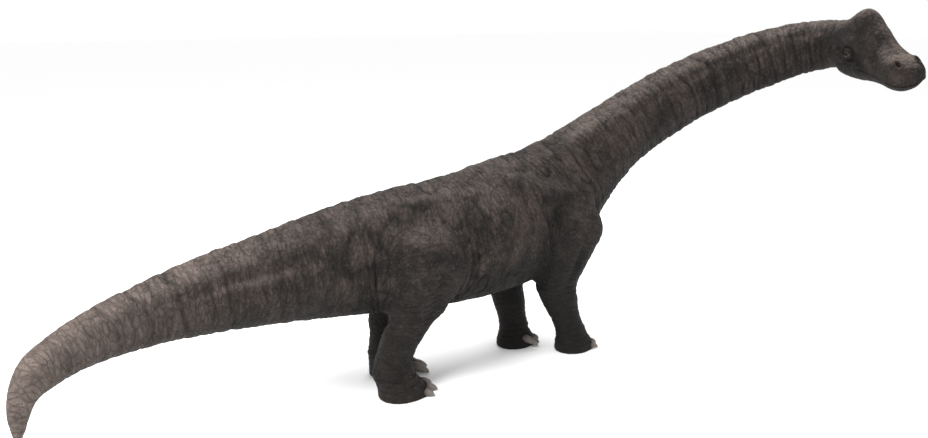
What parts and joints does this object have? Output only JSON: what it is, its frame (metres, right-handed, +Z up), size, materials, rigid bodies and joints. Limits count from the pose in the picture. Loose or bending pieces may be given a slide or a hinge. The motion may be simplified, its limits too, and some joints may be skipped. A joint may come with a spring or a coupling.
{
  "type": "brachiosaurid sauropod dinosaur",
  "caption": "Long-necked, long-tailed sauropod dinosaur standing on column-like legs, its crested head held high and turned to its right.",
  "frame": {"origin": "centre of the bounding box, on the floor under the feet", "axes": "+X towards the head along the trunk, +Y to the animal's left, +Z up"},
  "size_m": [17.6778, 6.4994, 7.5512],
  "materials": {
    "skin": "dry, wrinkled hide, mottled grey-brown",
    "horn": "dull grey horn",
    "eye": "wet dark eyeball"
  },
  "bodies": {
    "root": {"belly": "skin", "chest": "skin", "claw_hind_left_1": "horn", "claw_hind_left_2": "horn", "claw_hind_left_3": "horn", "claw_hind_left_4": "horn", "claw_hind_right_1": "horn", "claw_hind_right_2": "horn", "claw_hind_right_3": "horn", "claw_hind_right_4": "horn", "claw_thumb_left": "horn", "claw_thumb_right": "horn", "eye_left": "eye", "eye_right": "eye", "foot_fore_left": "skin", "foot_fore_right": "skin", "foot_hind_left": "skin", "foot_hind_right": "skin", "head": "skin", "hips": "skin", "jaw": "skin", "lower_fore_left": "skin", "lower_fore_right": "skin", "nail_fore_left_1": "horn", "nail_fore_left_2": "horn", "nail_fore_left_3": "horn", "nail_fore_left_4": "horn", "nail_fore_right_1": "horn", "nail_fore_right_2": "horn", "nail_fore_right_3": "horn", "nail_fore_right_4": "horn", "nape": "skin", "neck_base": "skin", "neck_lower": "skin", "neck_middle": "skin", "neck_upper": "skin", "shank_hind_left": "skin", "shank_hind_right": "skin", "tail_base": "skin", "tail_bend": "skin", "tail_end": "skin", "tail_middle": "skin", "tail_tip": "skin", "thigh_hind_left": "skin", "thigh_hind_right": "skin", "upper_fore_left": "skin", "upper_fore_right": "skin"}
  },
  "joints": []
}
